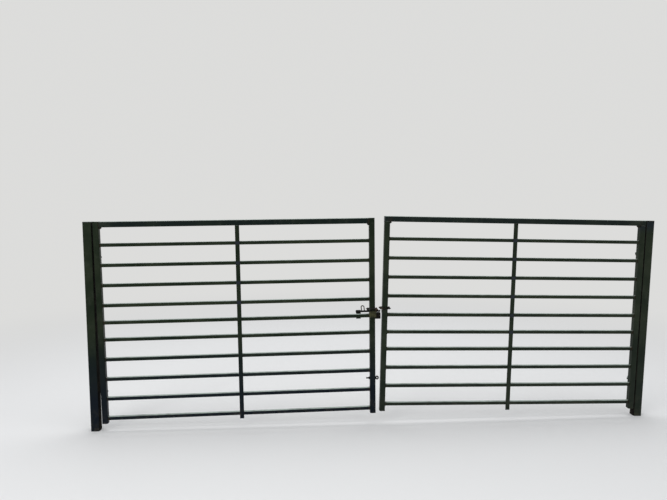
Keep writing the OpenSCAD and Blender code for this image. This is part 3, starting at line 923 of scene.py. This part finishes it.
def latch_welds(bm):
    """Beads of the sleeve, the outer guide and the lock box on the left leaf."""
    left = LEAF["left"]
    low, high = box_in("left_bolt_sleeve", left)
    x0, x1 = low.x + PLATE_MARGIN, high.x - PLATE_MARGIN
    y = low.y + SLEEVE_BEAD_Y
    for s in (-1, 1):
        z = (low.z + high.z) / 2 + s * SLEEVE_BEAD_Z
        bead_line(bm, (x0, y, z), (x1, y, z), HEAVY_BEAD_R)
    low, high = box_in("left_bolt_guide", left)
    bar_low, bar_high = box_in(LATCH_BAR, left)
    x0, x1 = low.x + PLATE_MARGIN, high.x - PLATE_MARGIN
    y = bar_high.y + TIGHT
    z0, z1 = bar_low.z + BAR_MARGIN, bar_high.z - BAR_MARGIN
    for x in (low.x - TIGHT, high.x + TIGHT):
        bead_line(bm, (x, y, z0), (x, y, z1), PLATE_BEAD_R)
    for z in (bar_low.z + SUNK, bar_high.z - SUNK):
        bead_line(bm, (x0, y, z), (x1, y, z), PLATE_BEAD_R)
    low, high = box_in("left_lock_box", left)
    x = low.x + BOX_BEAD_X
    z0, z1 = low.z + PLATE_MARGIN, high.z - PLATE_MARGIN
    for y in (low.y + BOX_BEAD_Y, high.y - BOX_BEAD_Y):
        bead_line(bm, (x, y, z0), (x, y, z1), HEAVY_BEAD_R)


def keeper_welds(bm):
    """Beads of the keeper's lugs on the right stile and under its strap."""
    low, high = box_in("right_keeper_lugs", LEAF["left"])
    x0, x1 = low.x + PLATE_MARGIN, high.x - PLATE_MARGIN
    for z in (low.z - TIGHT, high.z + TIGHT):
        for y, radius in ((low.y + PROUD, BEAD_R), (high.y, PLATE_BEAD_R)):
            bead_line(bm, (x0, y, z), (x1, y, z), radius)


def handle_welds(bm):
    """A bead round each leg of the bow handle, where it stands on the bolt."""
    low, _ = box_in("slide_bolt", LEAF["left"])
    axis = Vector((0, low.y + BOLT_R, low.z + BOLT_R))
    lean = Vector((0, math.sin(HANDLE_TILT), math.cos(HANDLE_TILT)))
    across = Vector((0, lean.z, -lean.y))
    x_axis = Vector((1, 0, 0))
    for x in HANDLE_LEGS:
        foot = axis + Vector((low.x + x, 0, 0)) + (BOLT_R + LEG_BEAD_OFF) * lean
        path = [
            foot + LEG_RING_R * (math.cos(a) * x_axis + math.sin(a) * across)
            for a in circle(LEG_RING_POINTS)
        ]
        tube(bm, path, rippled(LEG_RING_LENGTH, LEG_BEAD_R, len(path)), True)


for side in LEAF:
    leaf_welds(side)
for side in LEAF:
    post_welds(side)
    hinge_welds(side)
weld("left_latch_welds", latch_welds, "left_leaf", LEAF["left"])
weld("right_keeper_welds", keeper_welds, "right_leaf", LEAF["left"])
weld("bolt_handle_welds", handle_welds, "bolt", LEAF["left"])

# Padlock
# The stack of plates, of which every second one is a little smaller. The rivets'
# heads stand out under it and on top of it.
LAMINATES = 9
LAMINATE_GAP = 0.0001
LAMINATE_INSET = 0.0005
LAMINATE_CORNER = 0.006
LAMINATE_CHAMFER = 0.0007
PLATE_CORNER_STEPS = 5
RIVET_H = 0.0012
RIVET_R_UNDER = 0.0032
RIVET_R_TOP = 0.0026
RIVET_FROM_SIDE = 0.0085
RIVET_FROM_FRONT = 0.0050
RIVET_CHAMFER = 0.0006
RIVET_SIDES = 20
CYLINDER_R = 0.0072
CYLINDER_CHAMFER = 0.0004
CYLINDER_SIDES = 28

# The slot for the key: a near-black plate under the cylinder, painted shade of the slot
KEYWAY_HALF_W, KEYWAY_HALF_D = 0.0042, 0.0011
KEYWAY_CORNER = 0.0008
KEYWAY_Z = (-0.0002, 0.0009)
KEYWAY_CHAMFER = 0.0002
KEYWAY_PROUD = 0.0001


def padlock_box():
    """Lowest corner, middle and size of the padlock, in the left leaf's frame."""
    low, high = box_in("padlock_body", LEAF["left"])
    return low, (low + high) / 2, high - low


def stack_rings(bm, rings):
    """Skins a stack of rings and closes both its ends."""
    join_rings(bm, rings)
    bm.faces.new(list(reversed(rings[0])))
    bm.faces.new(rings[-1])


def rounded_plate(bm, half_w, half_d, corner, z0, z1, chamfer):
    """A flat plate with round corners and softened edges."""
    rings = []
    for z, inset in ((z0, chamfer), (z0 + chamfer, 0), (z1 - chamfer, 0), (z1, chamfer)):
        r = corner - inset
        ring = []
        for quarter, (qx, qy) in enumerate(((1, 1), (-1, 1), (-1, -1), (1, -1))):
            for k in range(PLATE_CORNER_STEPS + 1):
                a = math.pi / 2 * (quarter + k / PLATE_CORNER_STEPS)
                x = qx * (half_w - corner) + r * math.cos(a)
                y = qy * (half_d - corner) + r * math.sin(a)
                ring.append(bm.verts.new((x, y, z)))
        rings.append(ring)
    stack_rings(bm, rings)


def round_boss(bm, x, y, z0, z1, radius, chamfer=RIVET_CHAMFER, sides=RIVET_SIDES):
    """A round head from z0 to z1, above or below, with a softened edge."""
    rings = []
    shoulder = z1 - chamfer if z1 > z0 else z1 + chamfer
    for z, r in ((z0, radius), (shoulder, radius), (z1, radius - chamfer)):
        rings.append([
            bm.verts.new((x + r * math.cos(a), y + r * math.sin(a), z))
            for a in circle(sides)
        ])
    stack_rings(bm, rings)


def padlock(bm):
    """A stack of riveted plates that fills the CAD body's box."""
    _, centre, size = padlock_box()
    foot = -size.z / 2
    bottom = foot + RIVET_H
    step = (size.z - 2 * RIVET_H) / LAMINATES
    for i in range(LAMINATES):
        inset = LAMINATE_INSET if i % 2 else 0.0
        z0 = bottom + i * step
        z1 = z0 + step - LAMINATE_GAP
        half_w, half_d = size.x / 2 - inset, size.y / 2 - inset
        rounded_plate(bm, half_w, half_d, LAMINATE_CORNER, z0, z1, LAMINATE_CHAMFER)
    # Rivets under all four corners, and on top of the two at the back
    for s in (-1, 1):
        for t in (-1, 1):
            x = s * (size.x / 2 - RIVET_FROM_SIDE)
            y = t * (size.y / 2 - RIVET_FROM_FRONT)
            round_boss(bm, x, y, bottom, foot, RIVET_R_UNDER)
            if t > 0:
                round_boss(bm, x, y, -bottom, -foot, RIVET_R_TOP)
    round_boss(bm, 0, 0, bottom, foot, CYLINDER_R, CYLINDER_CHAMFER, CYLINDER_SIDES)
    bm.transform(Matrix.Translation(centre))


def keyway(bm):
    low, centre, _ = padlock_box()
    rounded_plate(bm, KEYWAY_HALF_W, KEYWAY_HALF_D, KEYWAY_CORNER, *KEYWAY_Z, KEYWAY_CHAMFER)
    bm.transform(Matrix.Translation((centre.x, centre.y, low.z - KEYWAY_PROUD)))


def lock_piece(name, build, material, smooth):
    material = MATERIALS[material]
    return add_object(name, build, material, "left_leaf", LEAF["left"], smooth)


lock = lock_piece("padlock_laminated", padlock, "lock", smooth=False)
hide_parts("padlock_body")
# A near-black plate as painted shade of the key's slot
lock_piece("padlock_keyway", keyway, "black", smooth=True)

# Camera
# Found by fitting every bar and upright of the model to the photograph
PHOTO_W = 667
FOCAL_PX = 540.0
SENSOR_W = 36.0
CAMERA_AT = Vector((1.4110, -3.8674, 1.6210))
PITCH_DOWN = math.radians(4.920)
YAW_RIGHT = math.radians(4.297)
ROLL = math.radians(0.113)

camera_data = bpy.data.cameras.new("photo_camera")
camera_data.sensor_width = SENSOR_W
camera_data.lens = FOCAL_PX / PHOTO_W * SENSOR_W
camera = bpy.data.objects.new("photo_camera", camera_data)
bpy.context.scene.collection.objects.link(camera)
ahead = Vector((
    math.sin(YAW_RIGHT) * math.cos(PITCH_DOWN),
    math.cos(YAW_RIGHT) * math.cos(PITCH_DOWN),
    -math.sin(PITCH_DOWN),
))
level_right = Vector((math.cos(YAW_RIGHT), -math.sin(YAW_RIGHT), 0))
level_up = level_right.cross(ahead)
right = math.cos(ROLL) * level_right + math.sin(ROLL) * level_up
up = right.cross(ahead)
turn = Matrix((right, up, -ahead)).transposed().to_4x4()
camera.matrix_world = Matrix.Translation(CAMERA_AT) @ turn
bpy.context.scene.camera = camera

# Stage and light
BLACK = (0.0, 0.0, 0.0)
BACKDROP = (0.72, 0.72, 0.71)
FLOOR_SPAN = 60.0
FLOOR_MIDDLE = (2.0, 0.0, 0.0)
FLOOR_ROUGHNESS = 0.9
FLOOR_MOTTLE = 2.0
FLOOR_SHADE = Ramp(0.0, 1.0, 0.97, 1.0)
# Distances between which the lit floor passes into the even backdrop
FLOOR_FADE = Ramp(2.4, 6.5)
SKY = (0.93, 0.95, 1.0)
SKY_STRENGTH = 0.62


def shown_ray(nodes):
    """1 for what is seen, straight or in a reflection, and 0 for light."""
    path = nodes.new("LightPath")
    seen = path.outputs["Is Camera Ray"]
    for key in ("Is Glossy Ray", "Is Transmission Ray"):
        seen = nodes.most(seen, path.outputs[key])
    return seen


def pale_floor():
    """A plain floor that far from the gate has the backdrop's even colour."""
    material = bpy.data.materials.new("pale_floor")
    material.use_nodes = True
    nodes = Nodes(material.node_tree)
    mottle = nodes.fill(nodes.new("TexNoise"), {"Scale": FLOOR_MOTTLE}, "Fac")
    shade = nodes.ramp(mottle, FLOOR_SHADE, "LINEAR")
    inputs = {"Base Color": nodes.mix(shade, BLACK, BACKDROP), "Roughness": FLOOR_ROUGHNESS}
    lit = nodes.fill(nodes.tree.nodes["Principled BSDF"], inputs)
    place = nodes.new("NewGeometry").outputs["Position"]
    reach = nodes.new("VectorMath", operation="DISTANCE")
    away = nodes.fill(reach, {0: place, 1: FLOOR_MIDDLE}, "Value")
    far = nodes.times(nodes.ramp(away, FLOOR_FADE), shown_ray(nodes))
    even = nodes.fill(nodes.new("Emission"), {"Color": BACKDROP})
    surface = nodes.tree.nodes["Material Output"].inputs["Surface"]
    nodes.put(nodes.mix_shaders(far, lit, even), surface)

    bm = bmesh.new()
    bmesh.ops.create_grid(bm, x_segments=4, y_segments=4, size=FLOOR_SPAN / 2)
    mesh = bpy.data.meshes.new("floor")
    bm.to_mesh(mesh)
    bm.free()
    mesh.materials.append(material)
    floor = bpy.data.objects.new("floor", mesh)
    bpy.context.scene.collection.objects.link(floor)


def studio_world():
    """Pale sky light, in front of which the backdrop's even colour shows."""
    world = bpy.data.worlds.new("studio")
    bpy.context.scene.world = world
    world.use_nodes = True
    nodes = Nodes(world.node_tree)
    inputs = {"Color": SKY, "Strength": SKY_STRENGTH}
    sky = nodes.fill(nodes.tree.nodes["Background"], inputs)
    even = nodes.fill(nodes.new("Background"), {"Color": BACKDROP})
    surface = nodes.tree.nodes["World Output"].inputs["Surface"]
    nodes.put(nodes.mix_shaders(shown_ray(nodes), sky, even), surface)


def area_light(name, at, aim, size, power):
    data = bpy.data.lights.new(name, "AREA")
    data.shape = "RECTANGLE"
    data.size, data.size_y = size
    data.energy = power
    lamp = bpy.data.objects.new(name, data)
    bpy.context.scene.collection.objects.link(lamp)
    lamp.location = at
    turn = (Vector(aim) - Vector(at)).to_track_quat("-Z", "Y")
    lamp.rotation_euler = turn.to_euler()


pale_floor()
studio_world()
area_light(
    "overhead", at=(2.0, 0.5, 6.0), aim=(2.0, 0.0, 0.0), size=(8.0, 6.0), power=260
)
area_light(
    "front_left", at=(-2.5, -5.0, 4.0), aim=(2.0, 0.0, 0.8), size=(3.0, 3.0), power=110
)
bpy.context.scene.view_settings.view_transform = "Standard"
